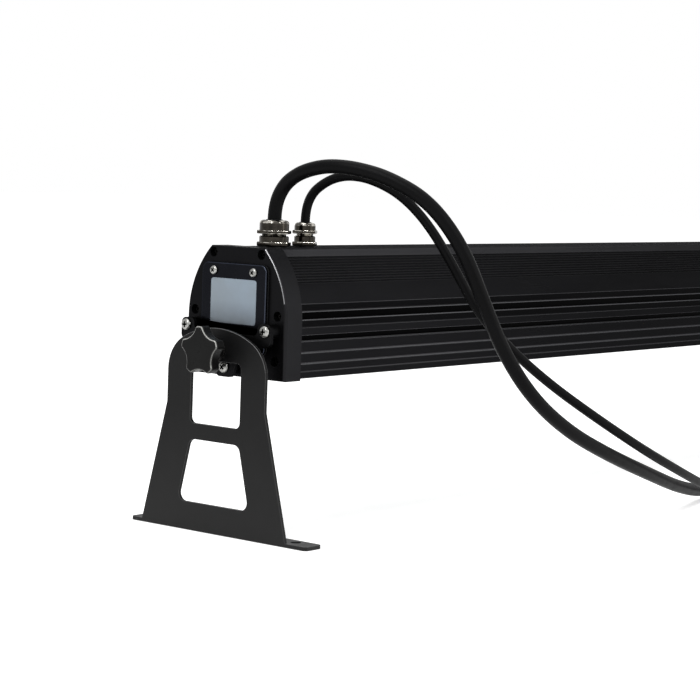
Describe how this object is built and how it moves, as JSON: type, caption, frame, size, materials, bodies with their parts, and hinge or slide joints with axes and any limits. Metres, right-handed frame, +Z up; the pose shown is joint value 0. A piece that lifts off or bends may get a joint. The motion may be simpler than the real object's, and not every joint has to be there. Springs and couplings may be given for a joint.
{
  "type": "linear floodlight",
  "caption": "Long narrow outdoor floodlight tilting between two folded steel brackets with clamping knobs, with power and signal cables leaving its top.",
  "frame": {"origin": "on the ground, midway between the two knobs' outer faces and midway along the feet", "axes": "+X along the lamp from the end with the control window, +Z up, the cables fall on the -Y side"},
  "size_m": [1.083, 0.3012, 0.3014],
  "materials": {
    "black_anodised": "satin black",
    "powder_coat": "satin charcoal",
    "zinc_screws": "bright",
    "nickel_brass": "nickel plated",
    "gloss_cover": "gloss black",
    "frosted_window": "frosted",
    "display_face": "dark glass",
    "knob_plastic": "fine grain",
    "black_rubber": "matt",
    "silicone": "matt grey",
    "cable_sheath": "matt black",
    "toughened_glass": "clear",
    "lens_plastic": "clear moulded",
    "board_green": "solder mask",
    "board_white": "white solder mask",
    "emitter_yellow": "phosphor",
    "driver_can": "brushed",
    "terminal_plastic": "plain",
    "stainless": "turned",
    "gold_pins": "gold plated",
    "nylon_washer": "plain",
    "black_screws": "black oxide",
    "powder_coat_cast": "satin charcoal"
  },
  "bodies": {
    "lamp": {"housing": "black_anodised", "end_cap_left": "black_anodised", "end_cap_right": "black_anodised", "end_gasket_left": "black_rubber", "end_gasket_right": "black_rubber", "end_cap_screws_left": "black_screws", "end_cap_screws_right": "black_screws", "control_cover": "gloss_cover", "control_cover_gasket": "black_rubber", "control_window": "frosted_window", "control_cover_screws": "zinc_screws", "control_board": "board_green", "control_display": "display_face", "control_board_screws": "zinc_screws", "front_glass": "toughened_glass", "glass_gasket": "silicone", "glass_rail_near": "black_anodised", "glass_rail_far": "black_anodised", "glass_rail_screws": "zinc_screws", "led_board": "board_white", "led_emitters": "emitter_yellow", "led_lenses": "lens_plastic", "led_board_screws": "zinc_screws", "driver": "driver_can", "driver_screws": "zinc_screws", "terminal_block": "terminal_plastic", "power_cable": "cable_sheath", "signal_cable": "cable_sheath", "power_plug": "black_rubber", "signal_plug": "black_rubber", "power_plug_pins": "gold_pins", "signal_plug_pins": "gold_pins", "power_gland_washer": "black_rubber", "power_gland_body": "nickel_brass", "power_gland_locknut": "nickel_brass", "power_gland_nut": "nickel_brass", "power_gland_seal": "black_rubber", "signal_gland_washer": "black_rubber", "signal_gland_body": "nickel_brass", "signal_gland_locknut": "nickel_brass", "signal_gland_nut": "nickel_brass", "signal_gland_seal": "black_rubber", "hub_plate_left": "powder_coat_cast", "hub_screws_left": "zinc_screws", "pivot_stud_left": "stainless", "friction_washer_left": "nylon_washer", "hub_plate_right": "powder_coat_cast", "hub_screws_right": "zinc_screws", "pivot_stud_right": "stainless", "friction_washer_right": "nylon_washer"},
    "left_bracket": {"bracket_left": "powder_coat"},
    "left_knob": {"knob_left": "knob_plastic", "knob_insert_left": "stainless", "knob_washer_left": "stainless"},
    "right_bracket": {"bracket_right": "powder_coat"},
    "right_knob": {"knob_right": "knob_plastic", "knob_insert_right": "stainless", "knob_washer_right": "stainless"}
  },
  "joints": [
    {"name": "left_bracket_tilt", "type": "hinge", "parent": "lamp", "child": "left_bracket", "pos_m": [-0.5195, 0.00425, 0.146], "axis": [1, 0, 0], "range_deg": [-120, 120]},
    {"name": "left_knob_turn", "type": "hinge", "parent": "lamp", "child": "left_knob", "pos_m": [-0.53, 0.00425, 0.146], "axis": [-1, 0, 0], "range_deg": [0, 270]},
    {"name": "right_bracket_tilt", "type": "hinge", "parent": "lamp", "child": "right_bracket", "pos_m": [0.5195, 0.00425, 0.146], "axis": [1, 0, 0], "range_deg": [-120, 120]},
    {"name": "right_knob_turn", "type": "hinge", "parent": "lamp", "child": "right_knob", "pos_m": [0.53, 0.00425, 0.146], "axis": [1, 0, 0], "range_deg": [0, 270]}
  ]
}
